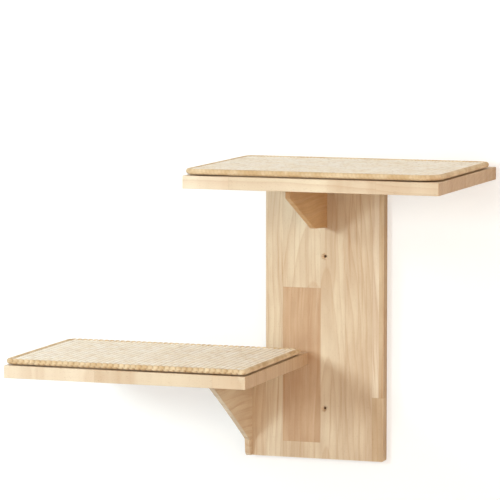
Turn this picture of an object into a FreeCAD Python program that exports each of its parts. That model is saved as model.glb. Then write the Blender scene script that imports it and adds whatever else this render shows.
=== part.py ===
import FreeCAD, Part

import math
import os

# Wall mounted shelf set: one upright board on the wall, an upper shelf on its top edge,
# a lower shelf butted against its front, a bracket plate under each shelf and a woven mat on each.
# Millimetres. +Z is up, the wall is the plane Y = 0 and the front faces -Y.
# The origin is on the wall plane, midway between the two wall holes, on the board's centre line.

# ---------------------------------------------------------------- driving dimensions

# upright board
BOARD_WIDTH = 220.0
BOARD_HEIGHT = 507.0
BOARD_THICKNESS = 20.0
BOARD_FOOT_EXTRA = 34.8          # how much wider the board is on the left, up to the lower shelf's top
BOARD_FOOT_CORNER = 11.0         # radius of the bottom left corner
BOARD_CORNER = 3.0               # radius of the board's other corners
WALL_HOLE_SPACING = 272.0
WALL_HOLE_HEIGHT = 91.0          # lower wall hole above the board's bottom edge
WALL_HOLE_DIAMETER = 5.0
WALL_SINK_DIAMETER = 12.0        # mouth of the countersink on the board's front

# shelves
SHELF_THICKNESS = 22.0
SHELF_REACH = 337.0              # from the board's front face to the shelves' front edges
SHELF_CORNER = 1.5               # radius of the corners in plan
SHELF_ARRIS = 0.8                # rounding of the long edges
UPPER_SHELF_WIDTH = 452.0
UPPER_SHELF_LEFT = 144.0         # from the board's centre line to the upper shelf's left end
LOWER_SHELF_WIDTH = 444.0
LOWER_SHELF_RIGHT = 30.5         # from the board's centre line to the lower shelf's right end
LOWER_SHELF_TOP = 190.0          # above the board's bottom edge

# bracket plates under the shelves
GUSSET_THICKNESS = 9.0
GUSSET_REACH = 205.0             # along the shelf, from the board's front face
GUSSET_ARRIS = 1.0
UPPER_GUSSET_TIP = 24.0          # height of the front end
UPPER_GUSSET_HEIGHT = 88.0
UPPER_GUSSET_HEEL = 69.5         # length of the nearly level bottom edge next to the board
UPPER_GUSSET_HEEL_DROP = 4.5     # how far that edge sinks towards the board
UPPER_GUSSET_BEND = 12.0         # radius where the slope meets the heel
LOWER_GUSSET_TIP = 20.0
LOWER_GUSSET_HOLLOW = 1.5        # how far the long free edge is hollowed out
LOWER_GUSSET_TOE_RISE = 31.0     # height of the steep toe at the foot of the lower gusset
LOWER_GUSSET_TOE_REACH = 17.0    # where the hollow edge meets the toe, from the board's front
LOWER_GUSSET_TOE_SLOPE = 3.5     # how far the toe leans back over its height
LOWER_GUSSET_FOOT = 10.0         # radius of the toe's lower corner
GUSSET_TIP_CORNER = 2.0

# mats
MAT_HEIGHT = 10.0
MAT_CORE_HEIGHT = 8.8            # the woven middle lies a little lower than its border
MAT_BORDER_WIDTH = 10.0
MAT_BORDER_ROUND = 4.6           # rounding of the border's outer edges
UPPER_MAT_END_MARGIN = 0.5
UPPER_MAT_FRONT_MARGIN = 1.0
UPPER_MAT_WALL_MARGIN = 30.0
UPPER_MAT_LEFT_CORNER = 20.0
UPPER_MAT_RIGHT_CORNER = 38.0
UPPER_MAT_BACK_CORNER = 18.0
LOWER_MAT_END_MARGIN = 0.5
LOWER_MAT_FRONT_MARGIN = 1.0
LOWER_MAT_BOARD_MARGIN = 35.0
LOWER_MAT_CORNER = 9.0
LOWER_MAT_LEFT_CORNER = 14.0
LOWER_MAT_LEFT_BACK_CORNER = 22.0

# stick-on fastener pads between shelf and mat
PAD_LENGTH = 50.0
PAD_WIDTH = 25.0
PAD_CORNER = 3.0
HOOK_PAD_THICKNESS = 1.0
LOOP_PAD_THICKNESS = 1.0
PAD_INSET = 55.0                 # from the mat's edges to the nearest pad's centre

# wood screws
SCREW_DIAMETER = 4.0
SCREW_HEAD_DIAMETER = 8.0
SCREW_TIP_LENGTH = 4.0
SCREW_HEAD_SINK = 0.3            # heads sit this far below the wood's surface
SCREW_SHANK_CLEARANCE = 0.25     # radial, in the piece that the head pulls on
RECESS_LENGTH = 4.6
RECESS_WIDTH = 1.0
RECESS_DEPTH = 1.6
EDGE_SCREW_BITE = 28.0           # how deep a screw goes into the board's top edge or a shelf's back edge
GUSSET_SCREW_BITE = 18.0
GUSSET_BACK_SCREW_BITE = 25.0
UPPER_EDGE_SCREW_SPACING = 150.0
GUSSET_SCREW_NEAR = 0.25         # parts of the gusset's reach at which the two shelf screws stand
GUSSET_SCREW_FAR = 0.70
UPPER_GUSSET_BACK_LEVELS = (0.28, 0.72)      # parts of each gusset's height, from the shelf down
LOWER_GUSSET_BACK_LEVELS = (0.25, 0.62)
LOWER_SHELF_SCREW_SPACING = 72.0

# wood dowels
DOWEL_DIAMETER = 8.0
DOWEL_LENGTH = 26.0
DOWEL_EDGE_BREAK = 0.8
DOWEL_IN_BOARD = 12.0            # depth in the board's front, for the lower shelf's dowels
DOWEL_IN_SHELF = 12.0            # depth in the upper shelf's underside
DOWEL_END_CLEARANCE = 0.5        # left at each end of a dowel's hole
UPPER_DOWEL_SPACING = 90.0
LOWER_DOWEL_SPACING = 32.0

# ---------------------------------------------------------------- worked out from them

BOARD_BOTTOM = -WALL_HOLE_HEIGHT - WALL_HOLE_SPACING / 2
BOARD_TOP = BOARD_BOTTOM + BOARD_HEIGHT
BOARD_FRONT = -BOARD_THICKNESS
BOARD_LEFT = -BOARD_WIDTH / 2
BOARD_RIGHT = BOARD_WIDTH / 2
FOOT_LEFT = BOARD_LEFT - BOARD_FOOT_EXTRA

SHELF_FRONT = BOARD_FRONT - SHELF_REACH
UPPER_UNDER = BOARD_TOP
UPPER_TOP = UPPER_UNDER + SHELF_THICKNESS
UPPER_LEFT = -UPPER_SHELF_LEFT
UPPER_RIGHT = UPPER_LEFT + UPPER_SHELF_WIDTH
LOWER_TOP = BOARD_BOTTOM + LOWER_SHELF_TOP
LOWER_UNDER = LOWER_TOP - SHELF_THICKNESS
LOWER_RIGHT = -LOWER_SHELF_RIGHT
LOWER_LEFT = LOWER_RIGHT - LOWER_SHELF_WIDTH

UPPER_GUSSET_X = 0.0
LOWER_GUSSET_X = FOOT_LEFT + GUSSET_THICKNESS / 2
LOWER_GUSSET_HEIGHT = LOWER_UNDER - BOARD_BOTTOM
SHELF_SCREW_REACHES = (GUSSET_REACH * GUSSET_SCREW_NEAR, GUSSET_REACH * GUSSET_SCREW_FAR)

MAT_LIFT = HOOK_PAD_THICKNESS + LOOP_PAD_THICKNESS

LOWER_JOINT_MIDDLE = (FOOT_LEFT + GUSSET_THICKNESS + LOWER_RIGHT) / 2
LOWER_JOINT_LEVEL = (LOWER_TOP + LOWER_UNDER) / 2
BOARD_MID_DEPTH = BOARD_FRONT / 2

UP = FreeCAD.Vector(0, 0, 1)
DOWN = FreeCAD.Vector(0, 0, -1)
FORWARD = FreeCAD.Vector(0, -1, 0)
BACKWARD = FreeCAD.Vector(0, 1, 0)


# ---------------------------------------------------------------- shapes used more than once

def rounded_outline(corners):
    """A closed wire through flat corner points, each given with the radius that rounds it."""
    starts = []
    ends = []
    edges = []
    count = len(corners)
    for index, (point, radius) in enumerate(corners):
        before = (corners[index - 1][0] - point).normalize()
        after = (corners[(index + 1) % count][0] - point).normalize()
        if radius == 0:
            starts.append(point)
            ends.append(point)
            edges.append(None)
            continue
        half = before.getAngle(after) / 2
        starts.append(point + before * (radius / math.tan(half)))
        ends.append(point + after * (radius / math.tan(half)))
        inward = (before + after).normalize()
        middle = point + inward * (radius / math.sin(half) - radius)
        edges.append(Part.Arc(starts[-1], middle, ends[-1]).toShape())
    wire = []
    for index in range(count):
        if edges[index] is not None:
            wire.append(edges[index])
        wire.append(Part.makeLine(ends[index], starts[(index + 1) % count]))
    return Part.Wire(wire)


def plan_plate(left, right, front, back, bottom, thickness, radii):
    """A level plate with rounded corners: radii are front left, front right, back right, back left."""
    places = ((left, front), (right, front), (right, back), (left, back))
    corners = []
    for (x, y), radius in zip(places, radii):
        corners.append((FreeCAD.Vector(x, y, bottom), radius))
    return Part.Face(rounded_outline(corners)).extrude(UP * thickness)


def edges_at_level(solid, level):
    """The edges of a solid that lie wholly at one height."""
    found = []
    for edge in solid.Edges:
        if all(abs(vertex.Point.z - level) < 1e-6 for vertex in edge.Vertexes):
            box = edge.BoundBox
            if box.ZLength < 1e-6:
                found.append(edge)
    return found


def placed(solid, point, direction):
    """A solid made at the origin along -Z, set with its start at a point and turned along a direction."""
    copy = solid.copy()
    copy.Placement = FreeCAD.Placement(point, FreeCAD.Rotation(DOWN, direction))
    return copy


def turned(profile):
    """A solid of revolution about Z from (radius, height) points, in order, ending back on the axis."""
    points = [FreeCAD.Vector(radius, 0, height) for radius, height in profile]
    face = Part.Face(Part.makePolygon(points + [points[0]]))
    return face.revolve(FreeCAD.Vector(0, 0, 0), UP, 360)


def screw_head_height():
    """A 90 degree countersunk head is as high as the step between its radius and the shank's."""
    return (SCREW_HEAD_DIAMETER - SCREW_DIAMETER) / 2


def screw(length):
    """A countersunk wood screw with its head's top at the origin, pointing down."""
    head = SCREW_HEAD_DIAMETER / 2
    shank = SCREW_DIAMETER / 2
    profile = [(0, 0), (head, 0), (shank, -screw_head_height())]
    profile += [(shank, SCREW_TIP_LENGTH - length), (0, -length)]
    body = turned(profile)
    slots = []
    for along_x in (True, False):
        size_x = RECESS_LENGTH if along_x else RECESS_WIDTH
        size_y = RECESS_WIDTH if along_x else RECESS_LENGTH
        corner = FreeCAD.Vector(-size_x / 2, -size_y / 2, -RECESS_DEPTH)
        slots.append(Part.makeBox(size_x, size_y, RECESS_DEPTH, corner))
    return body.cut(slots[0].fuse(slots[1]))


def screw_way(length, first_thickness):
    """The room a screw takes: its sunk head, a free shank hole, then exactly its own size in the next piece."""
    head = SCREW_HEAD_DIAMETER / 2
    free = SCREW_DIAMETER / 2 + SCREW_SHANK_CLEARANCE
    shank = SCREW_DIAMETER / 2
    seam = -(first_thickness - SCREW_HEAD_SINK)
    profile = [(0, SCREW_HEAD_SINK), (head, SCREW_HEAD_SINK), (head, 0), (free, free - head)]
    profile += [(free, seam), (shank, seam), (shank, SCREW_TIP_LENGTH - length), (0, -length)]
    return turned(profile)


def dowel():
    """A plain dowel with its start at the origin, pointing down, both ends broken."""
    radius = DOWEL_DIAMETER / 2
    small = radius - DOWEL_EDGE_BREAK
    profile = [(0, 0), (small, 0), (radius, -DOWEL_EDGE_BREAK)]
    profile += [(radius, DOWEL_EDGE_BREAK - DOWEL_LENGTH), (small, -DOWEL_LENGTH), (0, -DOWEL_LENGTH)]
    return turned(profile)


def dowel_way():
    """The hole for a dowel, a little longer than it at both ends."""
    radius = DOWEL_DIAMETER / 2
    start = DOWEL_END_CLEARANCE
    end = -DOWEL_LENGTH - DOWEL_END_CLEARANCE
    return turned([(0, start), (radius, start), (radius, end), (0, end)])


class ScrewSet:
    """Equal screws through one piece into another: their solids, and the holes that they need."""

    def __init__(self, surface_points, direction, first_thickness, bite):
        length = first_thickness - SCREW_HEAD_SINK + bite
        sunk = direction * SCREW_HEAD_SINK
        self.solids = [placed(screw(length), point + sunk, direction) for point in surface_points]
        self.holes = [placed(screw_way(length, first_thickness), point + sunk, direction)
                      for point in surface_points]


class DowelSet:
    """Equal dowels from their starting points along one direction, and their holes."""

    def __init__(self, starts, direction):
        self.solids = [placed(dowel(), point, direction) for point in starts]
        self.holes = [placed(dowel_way(), point, direction) for point in starts]


# ---------------------------------------------------------------- fasteners, placed first for their holes

def upper_edge_screws():
    """Down through the upper shelf into the board's top edge."""
    points = [FreeCAD.Vector(side * UPPER_EDGE_SCREW_SPACING / 2, BOARD_MID_DEPTH, UPPER_TOP)
              for side in (-1, 1)]
    return ScrewSet(points, DOWN, SHELF_THICKNESS, EDGE_SCREW_BITE)


def gusset_top_screws(gusset_x, shelf_top):
    """Down through a shelf into the top edge of its gusset."""
    points = [FreeCAD.Vector(gusset_x, BOARD_FRONT - reach, shelf_top) for reach in SHELF_SCREW_REACHES]
    return ScrewSet(points, DOWN, SHELF_THICKNESS, GUSSET_SCREW_BITE)


def gusset_back_screws(gusset_x, shelf_under, height, levels):
    """From behind the board into the back edge of a gusset."""
    points = [FreeCAD.Vector(gusset_x, 0, shelf_under - height * level) for level in levels]
    return ScrewSet(points, FORWARD, BOARD_THICKNESS, GUSSET_BACK_SCREW_BITE)


def lower_shelf_screws():
    """From behind the board into the lower shelf's back edge."""
    points = [FreeCAD.Vector(LOWER_JOINT_MIDDLE + side * LOWER_SHELF_SCREW_SPACING / 2, 0, LOWER_JOINT_LEVEL)
              for side in (-1, 1)]
    return ScrewSet(points, FORWARD, BOARD_THICKNESS, EDGE_SCREW_BITE)


def upper_dowels():
    """Up from the board's top edge into the upper shelf's underside."""
    start = UPPER_UNDER + DOWEL_IN_SHELF
    points = [FreeCAD.Vector(side * UPPER_DOWEL_SPACING / 2, BOARD_MID_DEPTH, start) for side in (-1, 1)]
    return DowelSet(points, DOWN)


def lower_dowels():
    """From the board's front face into the lower shelf's back edge."""
    start = BOARD_FRONT + DOWEL_IN_BOARD
    points = [FreeCAD.Vector(LOWER_JOINT_MIDDLE + side * LOWER_DOWEL_SPACING / 2, start, LOWER_JOINT_LEVEL)
              for side in (-1, 1)]
    return DowelSet(points, FORWARD)


UPPER_EDGE_SCREWS = upper_edge_screws()
UPPER_TOP_SCREWS = gusset_top_screws(UPPER_GUSSET_X, UPPER_TOP)
LOWER_TOP_SCREWS = gusset_top_screws(LOWER_GUSSET_X, LOWER_TOP)
UPPER_BACK_SCREWS = gusset_back_screws(UPPER_GUSSET_X, UPPER_UNDER, UPPER_GUSSET_HEIGHT,
                                       UPPER_GUSSET_BACK_LEVELS)
LOWER_BACK_SCREWS = gusset_back_screws(LOWER_GUSSET_X, LOWER_UNDER, LOWER_GUSSET_HEIGHT,
                                       LOWER_GUSSET_BACK_LEVELS)
LOWER_SHELF_SCREWS = lower_shelf_screws()
UPPER_DOWELS = upper_dowels()
LOWER_DOWELS = lower_dowels()


def drilled(solid, *sets):
    """A solid with the holes of some fastener sets cut out of it."""
    for fasteners in sets:
        for hole in fasteners.holes:
            solid = solid.cut(hole)
    return solid


# ---------------------------------------------------------------- wooden pieces

def wall_hole(height):
    """A through hole along Y with a 90 degree countersink at the board's front."""
    hole = WALL_HOLE_DIAMETER / 2
    mouth = WALL_SINK_DIAMETER / 2
    profile = [(0, 0), (mouth, 0), (hole, hole - mouth), (hole, -BOARD_THICKNESS), (0, -BOARD_THICKNESS)]
    return placed(turned(profile), FreeCAD.Vector(0, BOARD_FRONT, height), BACKWARD)


def back_board():
    """The upright board, wider on the left below the lower shelf's top."""
    corners = [
        (FreeCAD.Vector(FOOT_LEFT, BOARD_FRONT, BOARD_BOTTOM), BOARD_FOOT_CORNER),
        (FreeCAD.Vector(BOARD_RIGHT, BOARD_FRONT, BOARD_BOTTOM), BOARD_CORNER),
        (FreeCAD.Vector(BOARD_RIGHT, BOARD_FRONT, BOARD_TOP), 0),
        (FreeCAD.Vector(BOARD_LEFT, BOARD_FRONT, BOARD_TOP), 0),
        (FreeCAD.Vector(BOARD_LEFT, BOARD_FRONT, LOWER_TOP), 0),
        (FreeCAD.Vector(FOOT_LEFT, BOARD_FRONT, LOWER_TOP), BOARD_CORNER),
    ]
    board = Part.Face(rounded_outline(corners)).extrude(BACKWARD * BOARD_THICKNESS)
    for height in (-WALL_HOLE_SPACING / 2, WALL_HOLE_SPACING / 2):
        board = board.cut(wall_hole(height))
    return drilled(board, UPPER_EDGE_SCREWS, UPPER_BACK_SCREWS, LOWER_BACK_SCREWS, LOWER_SHELF_SCREWS,
                   UPPER_DOWELS, LOWER_DOWELS)


def shelf(left, right, back, bottom):
    """A level board with small rounded corners and eased long edges."""
    radii = [SHELF_CORNER] * 4
    plate = plan_plate(left, right, SHELF_FRONT, back, bottom, SHELF_THICKNESS, radii)
    rims = edges_at_level(plate, bottom) + edges_at_level(plate, bottom + SHELF_THICKNESS)
    return plate.makeFillet(SHELF_ARRIS, rims)


def upper_shelf():
    """The shelf on the board's top edge, with its back edge at the wall."""
    plate = shelf(UPPER_LEFT, UPPER_RIGHT, 0, UPPER_UNDER)
    return drilled(plate, UPPER_EDGE_SCREWS, UPPER_TOP_SCREWS, UPPER_DOWELS)


def lower_shelf():
    """The shelf that butts against the board's front."""
    plate = shelf(LOWER_LEFT, LOWER_RIGHT, BOARD_FRONT, LOWER_UNDER)
    return drilled(plate, LOWER_TOP_SCREWS, LOWER_SHELF_SCREWS, LOWER_DOWELS)


def side_point(gusset_x, shelf_under, reach, drop):
    """A point on a gusset's left face: its distance from the board's front and below the shelf."""
    return FreeCAD.Vector(gusset_x - GUSSET_THICKNESS / 2, BOARD_FRONT - reach, shelf_under - drop)


def gusset_plate(outline, shelf_under):
    """A plate from its side outline, eased along the free edges but not where it meets shelf or board."""
    plate = Part.Face(outline).extrude(FreeCAD.Vector(GUSSET_THICKNESS, 0, 0))
    free = []
    for edge in plate.Edges:
        box = edge.BoundBox
        along_profile = box.XLength < 1e-6
        on_shelf = box.ZMin > shelf_under - 1e-6
        on_board = box.YMin > BOARD_FRONT - 1e-6
        if along_profile and not on_shelf and not on_board:
            free.append(edge)
    return plate.makeFillet(GUSSET_ARRIS, free)


def upper_gusset():
    """Straight sloping plate with a nearly level heel beside the board."""
    def at(reach, drop):
        return side_point(UPPER_GUSSET_X, UPPER_UNDER, reach, drop)

    outline = rounded_outline([
        (at(0, 0), 0),
        (at(GUSSET_REACH, 0), 0),
        (at(GUSSET_REACH, UPPER_GUSSET_TIP), GUSSET_TIP_CORNER),
        (at(UPPER_GUSSET_HEEL, UPPER_GUSSET_HEIGHT), UPPER_GUSSET_BEND),
        (at(0, UPPER_GUSSET_HEIGHT + UPPER_GUSSET_HEEL_DROP), 0),
    ])
    return drilled(gusset_plate(outline, UPPER_UNDER), UPPER_TOP_SCREWS, UPPER_BACK_SCREWS)


def lower_gusset():
    """Long plate whose free edge is a shallow arc that ends in a steep toe at the board's foot."""
    def at(reach, drop):
        return side_point(LOWER_GUSSET_X, LOWER_UNDER, reach, drop)

    tip = at(GUSSET_REACH, LOWER_GUSSET_TIP)
    toe = at(LOWER_GUSSET_TOE_REACH, LOWER_GUSSET_HEIGHT - LOWER_GUSSET_TOE_RISE)
    foot_reach = LOWER_GUSSET_TOE_REACH - LOWER_GUSSET_TOE_SLOPE
    foot = at(foot_reach, LOWER_GUSSET_HEIGHT)
    heel = at(0, LOWER_GUSSET_HEIGHT)

    chord = toe - tip
    inward = UP - chord * (UP.dot(chord) / chord.dot(chord))
    hollow = (tip + toe) * 0.5 + inward.normalize() * LOWER_GUSSET_HOLLOW

    up_toe = (toe - foot).normalize()
    along_foot = (heel - foot).normalize()
    half = up_toe.getAngle(along_foot) / 2
    corner_start = foot + up_toe * (LOWER_GUSSET_FOOT / math.tan(half))
    corner_end = foot + along_foot * (LOWER_GUSSET_FOOT / math.tan(half))
    inside = (up_toe + along_foot).normalize()
    corner_middle = foot + inside * (LOWER_GUSSET_FOOT / math.sin(half) - LOWER_GUSSET_FOOT)

    top_back = at(0, 0)
    top_front = at(GUSSET_REACH, 0)
    outline = Part.Wire([
        Part.makeLine(top_back, top_front),
        Part.makeLine(top_front, tip),
        Part.Arc(tip, hollow, toe).toShape(),
        Part.makeLine(toe, corner_start),
        Part.Arc(corner_start, corner_middle, corner_end).toShape(),
        Part.makeLine(corner_end, heel),
        Part.makeLine(heel, top_back),
    ])
    return drilled(gusset_plate(outline, LOWER_UNDER), LOWER_TOP_SCREWS, LOWER_BACK_SCREWS)


# ---------------------------------------------------------------- mats

class Mat:
    """One mat: the outline of its border, the pads under it and the shelf's top that it lies over."""

    def __init__(self, left, right, front, back, shelf_top, radii):
        self.left = left
        self.right = right
        self.front = front
        self.back = back
        self.bottom = shelf_top + MAT_LIFT
        self.shelf_top = shelf_top
        self.radii = radii

    def plate(self, inset, thickness):
        """The mat's outline drawn in by some amount, as a plate of some thickness."""
        radii = [max(radius - inset, 0) for radius in self.radii]
        return plan_plate(self.left + inset, self.right - inset, self.front + inset, self.back - inset,
                          self.bottom, thickness, radii)

    def binding(self):
        """The border that goes all round, rounded on the outside."""
        outer = self.plate(0, MAT_HEIGHT)
        rims = edges_at_level(outer, self.bottom) + edges_at_level(outer, self.bottom + MAT_HEIGHT)
        return outer.makeFillet(MAT_BORDER_ROUND, rims).cut(self.plate(MAT_BORDER_WIDTH, MAT_HEIGHT))

    def core(self):
        """The woven middle."""
        return self.plate(MAT_BORDER_WIDTH, MAT_CORE_HEIGHT)

    def pads(self, bottom, thickness):
        """Four equal pads, one near each corner of the mat."""
        pads = []
        for x in (self.left + PAD_INSET, self.right - PAD_INSET):
            for y in (self.front + PAD_INSET, self.back - PAD_INSET):
                radii = [PAD_CORNER] * 4
                pads.append(plan_plate(x - PAD_LENGTH / 2, x + PAD_LENGTH / 2, y - PAD_WIDTH / 2,
                                       y + PAD_WIDTH / 2, bottom, thickness, radii))
        return pads

    def hook_pads(self):
        """The halves stuck to the shelf."""
        return self.pads(self.shelf_top, HOOK_PAD_THICKNESS)

    def loop_pads(self):
        """The halves stuck under the mat."""
        return self.pads(self.shelf_top + HOOK_PAD_THICKNESS, LOOP_PAD_THICKNESS)


UPPER_MAT = Mat(
    UPPER_LEFT + UPPER_MAT_END_MARGIN, UPPER_RIGHT - UPPER_MAT_END_MARGIN,
    SHELF_FRONT + UPPER_MAT_FRONT_MARGIN, -UPPER_MAT_WALL_MARGIN, UPPER_TOP,
    [UPPER_MAT_LEFT_CORNER, UPPER_MAT_RIGHT_CORNER, UPPER_MAT_BACK_CORNER, UPPER_MAT_BACK_CORNER])

LOWER_MAT = Mat(
    LOWER_LEFT + LOWER_MAT_END_MARGIN, LOWER_RIGHT - LOWER_MAT_END_MARGIN,
    SHELF_FRONT + LOWER_MAT_FRONT_MARGIN, BOARD_FRONT - LOWER_MAT_BOARD_MARGIN, LOWER_TOP,
    [LOWER_MAT_LEFT_CORNER, LOWER_MAT_CORNER, LOWER_MAT_CORNER, LOWER_MAT_LEFT_BACK_CORNER])


# ---------------------------------------------------------------- files

def save(name, solids):
    """One file per node; a node of equal loose pieces is a group of separate solids."""
    shape = solids[0] if len(solids) == 1 else Part.makeCompound(solids)
    shape.exportStep("parts/" + name + ".step")


os.makedirs("parts", exist_ok=True)

save("back_board", [back_board()])
save("upper_shelf", [upper_shelf()])
save("lower_shelf", [lower_shelf()])
save("upper_gusset", [upper_gusset()])
save("lower_gusset", [lower_gusset()])
for level, mat in (("upper", UPPER_MAT), ("lower", LOWER_MAT)):
    save(level + "_mat", [mat.core()])
    save(level + "_mat_binding", [mat.binding()])
    save(level + "_mat_hook_pads", mat.hook_pads())
    save(level + "_mat_loop_pads", mat.loop_pads())
save("upper_shelf_board_screws", UPPER_EDGE_SCREWS.solids)
save("upper_shelf_gusset_screws", UPPER_TOP_SCREWS.solids)
save("lower_shelf_gusset_screws", LOWER_TOP_SCREWS.solids)
save("lower_shelf_back_screws", LOWER_SHELF_SCREWS.solids)
save("upper_gusset_back_screws", UPPER_BACK_SCREWS.solids)
save("lower_gusset_back_screws", LOWER_BACK_SCREWS.solids)
save("upper_shelf_dowels", UPPER_DOWELS.solids)
save("lower_shelf_dowels", LOWER_DOWELS.solids)
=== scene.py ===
import math

import bpy
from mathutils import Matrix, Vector


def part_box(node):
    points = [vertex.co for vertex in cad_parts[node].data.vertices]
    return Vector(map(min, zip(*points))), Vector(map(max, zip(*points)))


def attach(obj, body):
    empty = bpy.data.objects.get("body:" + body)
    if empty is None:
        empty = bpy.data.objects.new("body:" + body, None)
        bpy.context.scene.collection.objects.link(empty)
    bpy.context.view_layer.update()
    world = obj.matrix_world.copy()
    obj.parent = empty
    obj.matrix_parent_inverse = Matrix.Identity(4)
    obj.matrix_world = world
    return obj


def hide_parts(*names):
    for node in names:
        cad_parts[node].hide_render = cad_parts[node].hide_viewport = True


# A wall mounted shelf set: glued wood panels, two bracket plates and two woven mats.
# Metres, in the frame of the solids: the wall is the plane Y = 0 and the front faces -Y.

MM = 0.001

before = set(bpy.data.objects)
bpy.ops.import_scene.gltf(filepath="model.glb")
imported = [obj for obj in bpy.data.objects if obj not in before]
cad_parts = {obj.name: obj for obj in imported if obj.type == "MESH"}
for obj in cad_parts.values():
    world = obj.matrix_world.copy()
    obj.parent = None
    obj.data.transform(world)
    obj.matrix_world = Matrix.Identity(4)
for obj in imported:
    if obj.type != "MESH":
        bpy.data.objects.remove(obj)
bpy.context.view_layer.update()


def srgb(red, green, blue):
    """A colour written as the 0 to 255 values it should show, as the linear values a shader takes."""
    linear = []
    for value in (red, green, blue):
        share = value / 255
        linear.append(share / 12.92 if share <= 0.04045 else ((share + 0.055) / 1.055) ** 2.4)
    return (*linear, 1.0)


# ---------------------------------------------------------------- shader building

class Shader:
    """A node material with short calls for the nodes that the finishes here share."""

    def __init__(self, name):
        self.material = bpy.data.materials.new(name)
        self.material.use_nodes = True
        self.nodes = self.material.node_tree.nodes
        self.links = self.material.node_tree.links
        self.surface = self.nodes["Principled BSDF"]
        self.output = self.nodes["Material Output"]

    def feed(self, socket, value):
        """Links a socket to another node's output, or sets its plain value."""
        if isinstance(value, bpy.types.NodeSocket):
            self.links.new(value, socket)
        elif value is not None:
            socket.default_value = value

    def place(self):
        """Coordinates in metres in the solids' frame."""
        return self.nodes.new("ShaderNodeTexCoord").outputs["Object"]

    def facing(self, axis):
        """How much the surface faces along one axis of the solids' frame, from 0 to 1."""
        normal = self.nodes.new("ShaderNodeTexCoord").outputs["Normal"]
        return self.math("ABSOLUTE", self.split(normal)[axis])

    def mark(self, name):
        """A named value that the mesh carries on its vertices."""
        node = self.nodes.new("ShaderNodeAttribute")
        node.attribute_name = name
        return node.outputs["Fac"]

    def split(self, vector):
        node = self.nodes.new("ShaderNodeSeparateXYZ")
        self.feed(node.inputs[0], vector)
        return node.outputs[0], node.outputs[1], node.outputs[2]

    def join(self, x, y, z):
        node = self.nodes.new("ShaderNodeCombineXYZ")
        for socket, value in zip(node.inputs, (x, y, z)):
            self.feed(socket, value)
        return node.outputs[0]

    def math(self, operation, *values):
        node = self.nodes.new("ShaderNodeMath")
        node.operation = operation
        for socket, value in zip(node.inputs, values):
            self.feed(socket, value)
        return node.outputs[0]

    def add(self, a, b):
        return self.math("ADD", a, b)

    def times(self, a, b):
        return self.math("MULTIPLY", a, b)

    def within(self, value, low, high):
        """1 between two limits and 0 outside them."""
        return self.math("COMPARE", value, (low + high) / 2, (high - low) / 2)

    def ease(self, value, low, high, to_low=0.0, to_high=1.0):
        """A smooth step from one value to another as the input goes from low to high."""
        node = self.nodes.new("ShaderNodeMapRange")
        node.interpolation_type = "SMOOTHSTEP"
        for socket, given in zip(node.inputs, (value, low, high, to_low, to_high)):
            self.feed(socket, given)
        return node.outputs[0]

    def mix(self, share, first, second, blend="MIX"):
        """Mixes two colours."""
        node = self.nodes.new("ShaderNodeMix")
        node.data_type = "RGBA"
        node.blend_type = blend
        self.feed(node.inputs["Factor"], share)
        self.feed(node.inputs[6], first)
        self.feed(node.inputs[7], second)
        return node.outputs[2]

    def mix_value(self, share, first, second):
        node = self.nodes.new("ShaderNodeMix")
        self.feed(node.inputs["Factor"], share)
        self.feed(node.inputs[2], first)
        self.feed(node.inputs[3], second)
        return node.outputs[0]

    def noise(self, vector, scale, detail=2.0, roughness=0.5):
        node = self.nodes.new("ShaderNodeTexNoise")
        self.feed(node.inputs["Vector"], vector)
        node.inputs["Scale"].default_value = scale
        node.inputs["Detail"].default_value = detail
        node.inputs["Roughness"].default_value = roughness
        return node.outputs["Fac"]

    def bump(self, height, depth, strength):
        """Surface relief of a depth in metres."""
        node = self.nodes.new("ShaderNodeBump")
        node.inputs["Strength"].default_value = strength
        node.inputs["Distance"].default_value = depth
        self.feed(node.inputs["Height"], height)
        return node.outputs[0]

    def finish(self, colour, roughness, normal, **plain):
        """Feeds the surface and returns the material."""
        self.feed(self.surface.inputs["Base Color"], colour)
        self.feed(self.surface.inputs["Roughness"], roughness)
        self.feed(self.surface.inputs["Normal"], normal)
        for socket, value in plain.items():
            self.surface.inputs[socket.replace("_", " ")].default_value = value
        return self.material


# ---------------------------------------------------------------- wood

WOOD_CREAM = srgb(234, 218, 194)
WOOD_LIGHT = srgb(229, 213, 187)
WOOD_WARM = srgb(220, 199, 171)
WOOD_PINK = srgb(207, 176, 144)
WOOD_TAN = srgb(212, 187, 154)
WOOD_SAND = srgb(226, 208, 181)
# painted shade: a warmer, darker wood for the upper bracket plate, for the shade under the upper shelf
WOOD_PAINTED_SHADE = srgb(213, 174, 127)
GRAIN_DARK = srgb(178, 132, 90)
PORE_DARK = srgb(140, 98, 64)
GLUE_LINE = srgb(160, 118, 82)

GLUE_WIDTH = 0.35 * MM
SLICE_STEP = 1.7                 # from one block's slice of the noise to the next block's
SLICE_SHIFT = 0.37               # metres across the grain, per unit of slice
GRAIN_WANDER = 0.03              # metres that the grain wanders sideways
WANDER_SCALE = (4.0, 9.0)        # noise scales along and across the grain, per metre
STREAK_SCALE = (5.0, 230.0)
CLOUD_SCALE = (7.0, 28.0)
PORE_SCALE = (210.0, 2600.0)
RINGS_PER_METRE = 130.0
PITH_DEPTH = 0.06                # the pith's distance behind the panel, in metres
PITH_SWING = 0.05                # how far from the panel's middle a block's pith may lie, in metres
PITH_LEAN = 0.02                 # how much the pith of a plain block leans along the grain
ARCH_LEAN = 0.10                 # the further lean in a block with arches
CLOUD_SHARE = 0.35
RING_SHARE = 0.32
STREAK_SHARE = 0.55
PALE_STREAK_SHARE = 0.25
PORE_SHARE = 0.6
SEAM_SHARE = 0.45
END_GRAIN_AND_SHADE_SHARE = 0.3            # cut ends of the grain are darker than the faces; the share also paints shade on the shelves' ends
WOOD_RELIEF = 0.08 * MM
PAST_EDGE = 1                    # mm that the outer blocks reach past the panel


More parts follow.
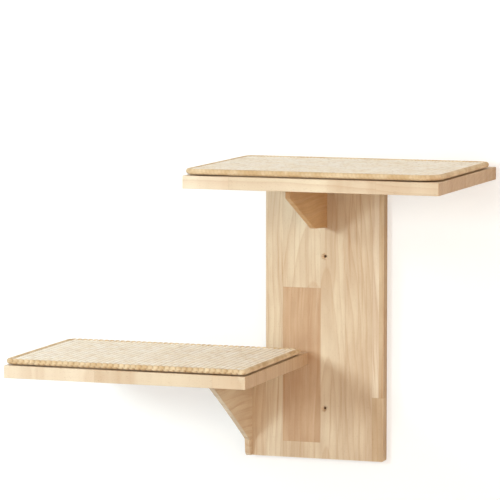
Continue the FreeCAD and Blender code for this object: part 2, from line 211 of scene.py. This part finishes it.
class Block:
    """One glued piece of a panel: its limits across and along the grain in mm, and its own colour.

    rings is how close its growth rings are, and figure how strongly they form arches."""

    def __init__(self, across, along, colour, rings, figure=0.0):
        self.across = across
        self.along = along
        self.colour = colour
        self.rings = rings
        self.figure = figure


def wood(name, grain_axis, across_axis, blocks):
    """Glued solid wood: each block has its own colour, its own slice of growth rings, pores and flecks."""
    shade = Shader(name)
    axes = shade.split(shade.place())
    along = axes[grain_axis]
    across = axes[across_axis]
    depth = axes[3 - grain_axis - across_axis]

    colour = blocks[0].colour
    seed = 0.0
    rings = 1.0
    figure = 0.0
    seam = 0.0
    for index, block in enumerate(blocks):
        low, high = (value * MM for value in block.across)
        start, end = (value * MM for value in block.along)
        inside = shade.times(shade.within(across, low, high), shade.within(along, start, end))
        core = shade.times(
            shade.within(across, low + GLUE_WIDTH / 2, high - GLUE_WIDTH / 2),
            shade.within(along, start + GLUE_WIDTH / 2, end - GLUE_WIDTH / 2))
        colour = shade.mix(inside, colour, block.colour)
        seed = shade.mix_value(inside, seed, 1.0 + index * SLICE_STEP)
        rings = shade.mix_value(inside, rings, block.rings)
        figure = shade.mix_value(inside, figure, block.figure)
        seam = shade.mix_value(inside, seam, shade.math("SUBTRACT", 1.0, core))

    def grain_noise(scales, across_place, third, detail, roughness):
        """Noise stretched along the grain."""
        stretched = shade.join(shade.times(along, scales[0]), shade.times(across_place, scales[1]), third)
        return shade.noise(stretched, 1.0, detail, roughness)

    # The grain's own coordinates: each block reads another part of the noise.
    wander = grain_noise(WANDER_SCALE, across, seed, 2.0, 0.5)
    bend = shade.times(shade.add(wander, -0.5), GRAIN_WANDER)
    slice_place = shade.times(seed, SLICE_SHIFT)
    across_bent = shade.add(shade.add(across, bend), slice_place)

    # Growth rings: shells round a pith behind the panel, which leans along the grain, so they cut the
    # face in long arches.
    lean = shade.times(along, shade.add(PITH_LEAN, shade.times(figure, ARCH_LEAN)))
    swing = shade.times(shade.math("SINE", shade.times(seed, 5.3)), PITH_SWING)
    sideways = shade.math("SUBTRACT", shade.math("SUBTRACT", across_bent, slice_place), swing)
    behind = shade.add(shade.add(depth, lean), PITH_DEPTH)
    radius = shade.math("SQRT", shade.add(
        shade.math("POWER", sideways, 2.0), shade.math("POWER", behind, 2.0)))
    ring = shade.math("FRACT", shade.times(radius, shade.times(rings, RINGS_PER_METRE)))
    late_wood = shade.times(shade.math("POWER", ring, 3.0), shade.ease(ring, 1.0, 0.93))

    streaks = grain_noise(STREAK_SCALE, across_bent, shade.times(seed, 3.1), 4.0, 0.6)
    clouds = grain_noise(CLOUD_SCALE, across_bent, shade.times(seed, 2.3), 3.0, 0.55)
    pores = grain_noise(PORE_SCALE, across_bent, shade.times(depth, PORE_SCALE[1]), 1.0, 0.5)

    colour = shade.mix(shade.ease(clouds, 0.25, 0.75, 0.0, CLOUD_SHARE), colour, GRAIN_DARK, "MULTIPLY")
    colour = shade.mix(shade.times(late_wood, RING_SHARE), colour, GRAIN_DARK)
    colour = shade.mix(shade.ease(streaks, 0.50, 0.78, 0.0, STREAK_SHARE), colour, GRAIN_DARK)
    colour = shade.mix(shade.ease(streaks, 0.45, 0.2, 0.0, PALE_STREAK_SHARE), colour, WOOD_CREAM)
    pore = shade.ease(pores, 0.66, 0.76)
    colour = shade.mix(shade.times(pore, PORE_SHARE), colour, PORE_DARK)
    colour = shade.mix(shade.times(seam, SEAM_SHARE), colour, GLUE_LINE)
    # Partly painted shade: faces across the grain are darkened, for darker end grain and for the shade on
    # the shelves' ends.
    cut_end_and_shade = shade.ease(shade.facing(grain_axis), 0.7, 0.95, 0.0, END_GRAIN_AND_SHADE_SHARE)
    colour = shade.mix(cut_end_and_shade, colour, GRAIN_DARK)

    relief = shade.add(shade.times(pore, -1.0), shade.times(streaks, 0.5))
    relief = shade.math("SUBTRACT", relief, shade.times(seam, 0.8))
    rough = shade.ease(streaks, 0.2, 0.8, 0.42, 0.56)
    return shade.finish(colour, rough, shade.bump(relief, WOOD_RELIEF, 0.6), Specular_IOR_Level=0.35)


def reach(node, axis):
    """From just below a node's lowest point along an axis to just past its highest, in mm."""
    low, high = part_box(node)
    return low[axis] / MM - PAST_EDGE, high[axis] / MM + PAST_EDGE


def panel_blocks(node, widths, lengths, colours):
    """Blocks of a shelf: strips along X, cut at uneven places that differ from strip to strip."""
    left, right = reach(node, 0)
    front, _ = reach(node, 1)
    blocks = []
    position = front
    for row, width in enumerate(widths):
        start = left - lengths[(row * 2) % len(lengths)] / 2
        column = row
        while start < right:
            length = lengths[column % len(lengths)]
            tint = colours[(row * 3 + column * 2) % len(colours)]
            blocks.append(Block((position, position + width), (start, start + length), tint,
                                rings=0.6 + 0.2 * ((row + column) % 4), figure=0.2 * ((row + column) % 3)))
            start += length
            column += 1
        position += width
    return blocks


def board_wood():
    """The upright board, strip by strip from the left: the blocks and colours that show in front.

    The glue lines between strips are X in mm, and the butt joints inside a strip are Z in mm."""
    bottom, top = reach("back_board", 2)
    left, right = reach("back_board", 0)
    step, first, second, third, fourth, last = -110, -78, -7.4, 39, 89, 101.5
    high_joint, low_joint, right_joint = 79, -198, -113
    blocks = [
        Block((left, step), (bottom, top), WOOD_WARM, 0.9),
        Block((step, first), (bottom, top), WOOD_LIGHT, 0.8, 0.3),
        Block((first, second), (bottom, low_joint), WOOD_SAND, 0.8),
        Block((first, second), (low_joint, high_joint), WOOD_PINK, 0.7),
        Block((first, second), (high_joint, top), WOOD_LIGHT, 0.6, 1.0),
        Block((second, third), (bottom, top), WOOD_SAND, 1.2, 0.2),
        Block((third, fourth), (bottom, top), WOOD_WARM, 0.8, 0.8),
        Block((fourth, right), (bottom, right_joint), WOOD_TAN, 0.9),
        Block((fourth, last), (right_joint, top), WOOD_CREAM, 0.7),
        Block((last, right), (right_joint, top), WOOD_TAN, 0.8),
    ]
    return wood("board_wood", 2, 0, blocks)


def gusset_wood(name, node, colour):
    """A bracket plate is one piece, with its grain along the shelf."""
    whole = Block(reach(node, 2), reach(node, 1), colour, 0.7, 0.4)
    return wood(name, 1, 2, [whole])


def dowel_wood(name, node, grain_axis, across_axis):
    """A group of dowels is painted as one block."""
    whole = Block(reach(node, across_axis), reach(node, grain_axis), WOOD_LIGHT, 1.6)
    return wood(name, grain_axis, across_axis, [whole])


# ---------------------------------------------------------------- metal and fastener cloth

def screw_steel():
    """Bright zinc plate with a faint yellow cast and turning marks."""
    shade = Shader("screw_steel")
    place = shade.place()
    marks = shade.noise(place, 1400.0, 2.0)
    patches = shade.noise(place, 260.0, 3.0)
    colour = shade.mix(patches, srgb(196, 190, 168), srgb(214, 211, 200))
    rough = shade.ease(marks, 0.3, 0.7, 0.24, 0.42)
    return shade.finish(colour, rough, shade.bump(marks, 0.02 * MM, 0.5), Metallic=1.0)


def pad_cloth():
    """Dark fastener cloth: a dense pile of small loops."""
    shade = Shader("pad_cloth")
    place = shade.place()
    loops = shade.noise(place, 2200.0, 2.0, 0.7)
    colour = shade.mix(loops, srgb(34, 26, 21), srgb(70, 55, 44))
    return shade.finish(colour, 0.95, shade.bump(loops, 0.4 * MM, 0.8))


# ---------------------------------------------------------------- mats

STRAW_PALE = srgb(253, 247, 236)
STRAW_CREAM = srgb(247, 235, 214)
STRAW_SAND = srgb(226, 204, 170)
STRAW_TAN = srgb(198, 166, 124)
# the colour of the painted shade in the mats' grooves
STRAW_PAINTED_SHADE = srgb(140, 100, 60)

CORD_PITCH = 10.4 * MM           # the lower mat's cords, side by side
CORD_RISE = 2.1 * MM             # from the groove between cords to their crest
FINE_PITCH = 6.2 * MM            # the upper mat's cords
FINE_RISE = 1.3 * MM
CORD_TWIST = 9.0 * MM            # length of one twist mark along a cord
TWIST_LEAN = 0.9                 # twist marks that a mark crosses from one side of a cord to the other
TWIST_RISE = 0.55 * MM
CORD_UNEVEN = 0.3 * MM           # some cords lie this much lower
GROOVE_PAINTED_SHADE = 0.75              # how much painted shade a groove between cords takes
TWIST_PAINTED_SHADE = 0.35               # how much painted shade the crease between two twist marks takes
ACROSS_STEPS = 8                 # faces across one cord
ALONG_STEP = 2.2 * MM

FIBRES_ACROSS = 1500.0           # noise scale across the fibres
FIBRES_ALONG = 160.0             # noise scale along them
STRAND_SHARE = 0.3
FIBRE_SHARE = 0.35
FIBRE_RELIEF = 0.35 * MM
WEAVE_SHADE_SHARE = 0.75          # how much of the painted shade colour the deepest grooves take


def straw(name, light, mid, fibre_axis, groove_shade_share):
    """Twisted plant fibre: pale crests, painted shade in the grooves, fine fibres and odd darker strands.

    fibre_axis is the axis that the fibres run along, or None where they run every way."""
    shade = Shader(name)
    axes = shade.split(shade.place())
    groove = shade.mark("groove")
    strand = shade.mark("strand")
    scales = [FIBRES_ALONG if axis == fibre_axis else FIBRES_ACROSS for axis in range(3)]
    fibres = shade.noise(shade.join(*[shade.times(axis, scale) for axis, scale in zip(axes, scales)]),
                         1.0, 3.0, 0.6)
    patches = shade.noise(shade.join(*axes), 34.0, 3.0, 0.6)

    colour = shade.mix(shade.ease(patches, 0.3, 0.7), light, mid)
    colour = shade.mix(shade.times(strand, STRAND_SHARE), colour, STRAW_TAN)
    colour = shade.mix(shade.ease(fibres, 0.55, 0.8, 0.0, FIBRE_SHARE), colour, STRAW_TAN)
    # Painted shade: the grooves and the creases between twist marks are darkened towards the shade colour.
    colour = shade.mix(shade.times(shade.math("POWER", groove, 1.6), groove_shade_share), colour, STRAW_PAINTED_SHADE)
    return shade.finish(colour, 0.8, shade.bump(fibres, FIBRE_RELIEF, 0.7), Specular_IOR_Level=0.2,
                        Sheen_Weight=0.15)


HASH_WEIGHTS = (12.9898, 78.233)
HASH_SPREAD = 43758.5453


def hashed(first, second):
    """A steady value from 0 to 1 for two whole numbers, so that strands differ the same way each time."""
    total = first * HASH_WEIGHTS[0] + second * HASH_WEIGHTS[1]
    return math.modf(abs(math.sin(total) * HASH_SPREAD))[0]


SMALLEST_RADIUS = 0.5 * MM
ARC_STEPS = 4                    # the fewest points on a corner's arc
CORNER_AT = (0, 1, 3, 2)         # a corner's place in the list: front left and right, back left and right


class MatShape:
    """The size of one mat, read from its solids, with the radii of its corners in mm.

    The corners go round from the front left: front right, back right, back left."""

    def __init__(self, level, radii):
        self.level = level
        self.border_low, self.border_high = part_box(level + "_mat_binding")
        self.core_low, self.core_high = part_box(level + "_mat")
        self.border = self.core_low[0] - self.border_low[0]
        self.radii = [radius * MM for radius in radii]

    def outline(self, inset, step):
        """Evenly spaced points round the mat, drawn in by some amount: (point, outward, distance)."""
        left, right = self.border_low[0] + inset, self.border_high[0] - inset
        front, back = self.border_low[1] + inset, self.border_high[1] - inset
        corners = ((left, front, 180), (right, front, 270), (right, back, 0), (left, back, 90))
        signs = ((1, 1), (-1, 1), (-1, -1), (1, -1))
        pieces = []
        arcs = []
        for (x, y, start), (sx, sy), radius in zip(corners, signs, self.radii):
            small = max(radius - inset, SMALLEST_RADIUS)
            arcs.append((Vector((x + sx * small, y + sy * small)), small, math.radians(start)))
        for index, (centre, radius, start) in enumerate(arcs):
            pieces.append(("arc", centre, radius, start))
            ahead, far, begin = arcs[(index + 1) % 4]
            leave = centre + radius * Vector((math.cos(start + math.pi / 2), math.sin(start + math.pi / 2)))
            arrive = ahead + far * Vector((math.cos(begin), math.sin(begin)))
            pieces.append(("line", leave, arrive))
        points = []
        travelled = 0.0
        for piece in pieces:
            if piece[0] == "arc":
                _, centre, radius, start = piece
                length = radius * math.pi / 2
            else:
                _, leave, arrive = piece
                length = (arrive - leave).length
            count = max(ARC_STEPS if piece[0] == "arc" else 1, round(length / step))
            for number in range(count):
                share = number / count
                if piece[0] == "arc":
                    angle = start + share * math.pi / 2
                    outward = Vector((math.cos(angle), math.sin(angle)))
                    point = centre + radius * outward
                else:
                    point = leave.lerp(arrive, share)
                    ahead = (arrive - leave).normalized()
                    outward = Vector((ahead.y, -ahead.x))
                points.append((point, outward, travelled + length * share))
            travelled += length
        return points, travelled

    def holds(self, x, y, inset):
        """True if a point is inside the outline drawn in by some amount."""
        left, right = self.border_low[0] + inset, self.border_high[0] - inset
        front, back = self.border_low[1] + inset, self.border_high[1] - inset
        if not (left <= x <= right and front <= y <= back):
            return False
        column = 0 if x < (left + right) / 2 else 1
        row = 0 if y < (front + back) / 2 else 1
        radius = self.radii[CORNER_AT[row * 2 + column]] - inset
        if radius <= 0:
            return True
        centre_x = left + radius if column == 0 else right - radius
        centre_y = front + radius if row == 0 else back - radius
        past_x = (centre_x - x) if column == 0 else (x - centre_x)
        past_y = (centre_y - y) if row == 0 else (y - centre_y)
        return past_x <= 0 or past_y <= 0 or math.hypot(past_x, past_y) <= radius


def finished_mesh(name, vertices, faces, marks):
    """A smooth object from vertices and faces, with named float values on its vertices."""
    mesh = bpy.data.meshes.new(name)
    mesh.from_pydata(vertices, [], faces)
    for key, values in marks.items():
        layer = mesh.attributes.new(key, "FLOAT", "POINT")
        layer.data.foreach_set("value", values)
    mesh.update()
    mesh.shade_smooth()
    piece = bpy.data.objects.new(name, mesh)
    bpy.context.scene.collection.objects.link(piece)
    return piece


def weave(mat, pitch, rise):
    """The mat's middle: cords side by side, front to back, every second one twisted the other way."""
    inset = mat.border / 2
    low, high = mat.border_low, mat.border_high
    bottom = mat.core_low[2]
    crest = mat.core_high[2]
    across = pitch / ACROSS_STEPS
    columns = math.ceil((high[0] - low[0]) / across)
    rows = math.ceil((high[1] - low[1]) / ALONG_STEP)

    def height(x, y):
        """The top of the weave at a place, how much painted shade it takes in a groove, and its strand's
        own tint.
        """
        cord = math.floor((x - low[0]) / pitch)
        part = (x - low[0]) / pitch - cord
        swell = math.sqrt(max(0.0, 1 - (2 * part - 1) ** 2))
        way = 1 if cord % 2 else -1
        turn = (y - low[1]) / CORD_TWIST + way * part * TWIST_LEAN + hashed(cord, 1)
        ridge = abs(math.cos(math.pi * turn))
        top = crest - TWIST_RISE * (1 - ridge) * swell - rise * (1 - swell) - CORD_UNEVEN * hashed(cord, 7)
        # Painted shade: deepest in the grooves between cords and in the creases between twist marks.
        depth = GROOVE_PAINTED_SHADE * (1 - swell) + TWIST_PAINTED_SHADE * (1 - ridge)
        return top, min(1.0, depth), hashed(cord, math.floor(turn + 0.5))

    index = {}
    vertices, faces, groove, strand = [], [], [], []

    def corner(column, row):
        if (column, row) not in index:
            x = low[0] + column * across
            y = low[1] + row * ALONG_STEP
            z, depth, tint = height(x, y)
            index[column, row] = len(vertices)
            vertices.append((x, y, z))
            groove.append(depth)
            strand.append(tint ** 3)
        return index[column, row]

    edges = {}
    for column in range(columns):
        for row in range(rows):
            if mat.holds(low[0] + (column + 0.5) * across, low[1] + (row + 0.5) * ALONG_STEP, inset):
                face = [corner(column, row), corner(column + 1, row), corner(column + 1, row + 1),
                        corner(column, row + 1)]
                faces.append(face)
                for start, end in zip(face, face[1:] + face[:1]):
                    if (end, start) in edges:
                        del edges[end, start]
                    else:
                        edges[start, end] = True

    # The rim goes straight down to a flat underside, out of sight under the border, with the full painted
    # groove shade.
    after = dict(edges.keys())
    start = next(iter(after))
    loop = [start]
    while after[loop[-1]] != start:
        loop.append(after[loop[-1]])
    under = []
    for number in loop:
        x, y, _ = vertices[number]
        under.append(len(vertices))
        vertices.append((x, y, bottom))
        groove.append(1.0)
        strand.append(0.0)
    for here in range(len(loop)):
        there = (here + 1) % len(loop)
        faces.append([loop[there], loop[here], under[here], under[there]])
    faces.append(list(reversed(under)))

    name = mat.level + "_mat_weave"
    piece = finished_mesh(name, vertices, faces, {"groove": groove, "strand": strand})
    piece.data.materials.append(straw(name, STRAW_PALE, STRAW_CREAM, 1, WEAVE_SHADE_SHARE))
    return piece


RING_STEPS = 16                  # points round the roll
RIM_STEP = 1.2 * MM              # between points along it
WRAP_ROUNDNESS = 0.6             # lower is a fuller wrap with a narrower groove
FULL_GROOVE = 0.6 * MM           # relief at which a groove's painted shade is at its deepest
# how much of the painted shade colour the border's grooves take
RIM_SHADE_SHARE = 0.75


def rim(mat, bump_pitch, bump_rise, end_rise, twist):
    """The border: a thick roll round the mat, wrapped at an even pitch.

    bump_rise is the wrap's relief along the front and back, end_rise the relief along the two ends,
    and twist is how far a wrap leans round the roll."""
    half_width = mat.border / 2
    half_height = (mat.border_high[2] - mat.border_low[2]) / 2
    middle = (mat.border_high[2] + mat.border_low[2]) / 2
    points, length = mat.outline(half_width, RIM_STEP)
    wraps = round(length / bump_pitch)
    vertices, faces, groove, strand = [], [], [], []
    for point, outward, travelled in points:
        relief = end_rise + (bump_rise - end_rise) * outward.y ** 2
        for step in range(RING_STEPS):
            angle = 2 * math.pi * step / RING_STEPS
            turn = wraps * travelled / length + twist * step / RING_STEPS
            swell = abs(math.cos(math.pi * turn)) ** WRAP_ROUNDNESS
            inwards = relief * (1 - swell)
            side = (half_width - inwards) * math.cos(angle)
            lift = (half_height - inwards) * math.sin(angle)
            flat = point + outward * side
            vertices.append((flat.x, flat.y, middle + lift))
            # Painted shade in the grooves between wraps, deeper where the wrap's relief is larger.
            groove.append((1 - swell) * min(1.0, relief / FULL_GROOVE))
            strand.append(hashed(math.floor(turn + 0.5) % wraps, 3) ** 2)
    count = len(points)
    for ring in range(count):
        for step in range(RING_STEPS):
            ahead = (ring + 1) % count
            side = (step + 1) % RING_STEPS
            faces.append([ring * RING_STEPS + step, ahead * RING_STEPS + step,
                          ahead * RING_STEPS + side, ring * RING_STEPS + side])
    name = mat.level + "_mat_rim"
    piece = finished_mesh(name, vertices, faces, {"groove": groove, "strand": strand})
    piece.data.materials.append(straw(name, STRAW_SAND, STRAW_TAN, None, RIM_SHADE_SHARE))
    return piece


def dress_mat(mat, pitch, rise, border):
    """Sets a woven middle and its border in the place of the plain solids."""
    middle = weave(mat, pitch, rise)
    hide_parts(mat.level + "_mat")
    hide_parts(mat.level + "_mat_binding")
    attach(middle, "root")
    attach(border, "root")


# ---------------------------------------------------------------- dress the solids

def paint(node, material):
    """Gives every slot of a solid one material."""
    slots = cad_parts[node].material_slots
    for slot in slots:
        slot.material = material


SHELF_STRIPS = (48, 62, 55, 50, 64, 52, 58)      # widths of the glued strips from the front, in mm
UPPER_BLOCKS = (168, 260, 205, 240)              # lengths of the blocks along a strip, in mm
LOWER_BLOCKS = (340, 215, 188, 265)
SHELF_COLOURS = (WOOD_CREAM, WOOD_SAND, WOOD_LIGHT, WOOD_CREAM, WOOD_WARM)

paint("back_board", board_wood())
paint("upper_shelf", wood("upper_shelf_wood", 0, 1,
                          panel_blocks("upper_shelf", SHELF_STRIPS, UPPER_BLOCKS, SHELF_COLOURS)))
paint("lower_shelf", wood("lower_shelf_wood", 0, 1,
                          panel_blocks("lower_shelf", SHELF_STRIPS, LOWER_BLOCKS, SHELF_COLOURS)))
# The upper bracket plate takes the warmer, darker wood: painted shade for the shade under the upper shelf.
paint("upper_gusset", gusset_wood("upper_gusset_wood_painted_shade", "upper_gusset", WOOD_PAINTED_SHADE))
paint("lower_gusset", gusset_wood("lower_gusset_wood", "lower_gusset", WOOD_SAND))
paint("upper_shelf_dowels", dowel_wood("upper_dowel_wood", "upper_shelf_dowels", 2, 0))
paint("lower_shelf_dowels", dowel_wood("lower_dowel_wood", "lower_shelf_dowels", 1, 0))

steel = screw_steel()
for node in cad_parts:
    if node.endswith("_screws"):
        paint(node, steel)

cloth = pad_cloth()
for level in ("upper", "lower"):
    paint(level + "_mat_hook_pads", cloth)
    paint(level + "_mat_loop_pads", cloth)

upper_mat = MatShape("upper", (20, 38, 18, 18))
upper_rim = rim(upper_mat, bump_pitch=7.0 * MM, bump_rise=0.35 * MM, end_rise=0.3 * MM, twist=0.8)
dress_mat(upper_mat, FINE_PITCH, FINE_RISE, upper_rim)
lower_mat = MatShape("lower", (14, 9, 9, 22))
lower_rim = rim(lower_mat, bump_pitch=CORD_PITCH, bump_rise=1.5 * MM, end_rise=0.12 * MM, twist=0.35)
dress_mat(lower_mat, CORD_PITCH, CORD_RISE, lower_rim)


# ---------------------------------------------------------------- stage, light and camera

FLOOR_LEVEL = -0.9
STAGE_HALF = 4.0
WALL_TOP = 3.0
WALL_GAP = 0.4 * MM
NEAR_REACH = 6 * MM              # the wall lets light pass this close to it, so the board's back is lit
STAGE_SEEN = (0.58, 0.575, 0.57, 1.0)
STAGE_BOUNCED = (0.7, 0.7, 0.7, 1.0)
STAGE_OWN_WHITE = 0.46


def stage_white():
    """A plain pale surface whose back lets everything through, so the object shows from behind as well.

    The camera sees part of its white without any light, which keeps the shadows on it pale."""
    shade = Shader("stage_white")
    shade.nodes.remove(shade.surface)
    path = shade.nodes.new("ShaderNodeLightPath")
    at_camera = path.outputs["Is Camera Ray"]
    side = shade.nodes.new("ShaderNodeNewGeometry").outputs["Backfacing"]
    plain = shade.nodes.new("ShaderNodeBsdfDiffuse")
    shade.feed(plain.inputs["Color"], shade.mix(at_camera, STAGE_BOUNCED, STAGE_SEEN))
    glow = shade.nodes.new("ShaderNodeEmission")
    shade.feed(glow.inputs["Strength"], shade.times(at_camera, STAGE_OWN_WHITE))
    front = shade.nodes.new("ShaderNodeAddShader")
    shade.feed(front.inputs[0], plain.outputs[0])
    shade.feed(front.inputs[1], glow.outputs[0])
    clear = shade.nodes.new("ShaderNodeBsdfTransparent")
    either = shade.nodes.new("ShaderNodeMixShader")
    near = shade.math("LESS_THAN", path.outputs["Ray Length"], NEAR_REACH)
    shade.feed(either.inputs[0], shade.math("MAXIMUM", side, near))
    shade.feed(either.inputs[1], front.outputs[0])
    shade.feed(either.inputs[2], clear.outputs[0])
    shade.feed(shade.output.inputs["Surface"], either.outputs[0])
    return shade.material


def stage_plane(name, corners, material):
    """A flat stage surface from four corners, counterclockwise seen from its painted side."""
    mesh = bpy.data.meshes.new(name)
    mesh.from_pydata(corners, [], [(0, 1, 2, 3)])
    mesh.materials.append(material)
    plane = bpy.data.objects.new(name, mesh)
    bpy.context.scene.collection.objects.link(plane)


back, front = WALL_GAP, -2 * STAGE_HALF
white = stage_white()
stage_plane("wall", [(-STAGE_HALF, back, FLOOR_LEVEL), (STAGE_HALF, back, FLOOR_LEVEL),
                     (STAGE_HALF, back, WALL_TOP), (-STAGE_HALF, back, WALL_TOP)], white)
stage_plane("floor", [(-STAGE_HALF, front, FLOOR_LEVEL), (STAGE_HALF, front, FLOOR_LEVEL),
                      (STAGE_HALF, back, FLOOR_LEVEL), (-STAGE_HALF, back, FLOOR_LEVEL)], white)

AIM = Vector((0.0, -0.15, 0.04))         # the middle of the object


def area_light(name, direction, distance, size, power, colour):
    """A square soft lamp that looks at the object from some direction."""
    lamp = bpy.data.lights.new(name, "AREA")
    lamp.size = size
    lamp.energy = power
    lamp.color = colour
    holder = bpy.data.objects.new(name, lamp)
    bpy.context.scene.collection.objects.link(holder)
    towards = Vector(direction).normalized()
    holder.location = AIM + towards * distance
    holder.rotation_euler = towards.to_track_quat("Z", "Y").to_euler()


COOL = (0.80, 0.96, 1.0)
WARM = (1.0, 0.74, 0.50)

area_light("key", direction=(-0.366, -0.914, 0.20), distance=3.4, size=0.5, power=39.0, colour=COOL)
area_light("window", direction=(-0.76, -0.53, 0.40), distance=3.4, size=0.9, power=39.0, colour=COOL)
area_light("fill", direction=(0.70, -0.71, 0.15), distance=4.5, size=2.4, power=60.0, colour=WARM)

LIGHT_ABOVE = (1.0, 0.96, 0.90, 1.0)
LIGHT_BELOW = (0.13, 0.065, 0.03, 1.0)
LOWEST_LIGHT = -0.2              # height of a direction, from -1 to 1, where the light is all LIGHT_BELOW
HIGHEST_LIGHT = 0.9              # and where it is all LIGHT_ABOVE
PLAIN_WHITE = (1.0, 1.0, 1.0, 1.0)


def studio():
    """Soft light, strong from above and weak and warm from below, that shows as plain white behind."""
    world = bpy.data.worlds.new("studio")
    bpy.context.scene.world = world
    world.use_nodes = True
    nodes, links = world.node_tree.nodes, world.node_tree.links
    height = nodes.new("ShaderNodeSeparateXYZ")
    links.new(nodes.new("ShaderNodeTexCoord").outputs["Generated"], height.inputs[0])
    share = nodes.new("ShaderNodeMapRange")
    share.inputs["From Min"].default_value = LOWEST_LIGHT
    share.inputs["From Max"].default_value = HIGHEST_LIGHT
    links.new(height.outputs["Z"], share.inputs["Value"])
    lit = nodes.new("ShaderNodeMix")
    lit.data_type = "RGBA"
    lit.inputs[6].default_value = LIGHT_BELOW
    lit.inputs[7].default_value = LIGHT_ABOVE
    links.new(share.outputs["Result"], lit.inputs["Factor"])
    seen = nodes.new("ShaderNodeMix")
    seen.data_type = "RGBA"
    seen.inputs[7].default_value = PLAIN_WHITE
    links.new(nodes.new("ShaderNodeLightPath").outputs["Is Camera Ray"], seen.inputs["Factor"])
    links.new(lit.outputs[2], seen.inputs[6])
    links.new(seen.outputs[2], nodes["Background"].inputs["Color"])


studio()

CAMERA_PLACE = (1.93366, -5.94208, 0.79221)
CAMERA_DOWN = 5.91               # degrees below the horizon
CAMERA_TURN = 19.30              # degrees round Z
CAMERA_LENS = 254.28             # mm
CAMERA_SENSOR = 36.0             # mm
FARTHEST_SEEN = 100.0

camera_data = bpy.data.cameras.new("camera")
camera_data.lens = CAMERA_LENS
camera_data.sensor_width = CAMERA_SENSOR
camera_data.clip_end = FARTHEST_SEEN
camera = bpy.data.objects.new("camera", camera_data)
camera.location = CAMERA_PLACE
camera.rotation_euler = (math.radians(90 - CAMERA_DOWN), 0.0, math.radians(CAMERA_TURN))
bpy.context.scene.collection.objects.link(camera)
bpy.context.scene.camera = camera

bpy.context.scene.view_settings.view_transform = "Standard"
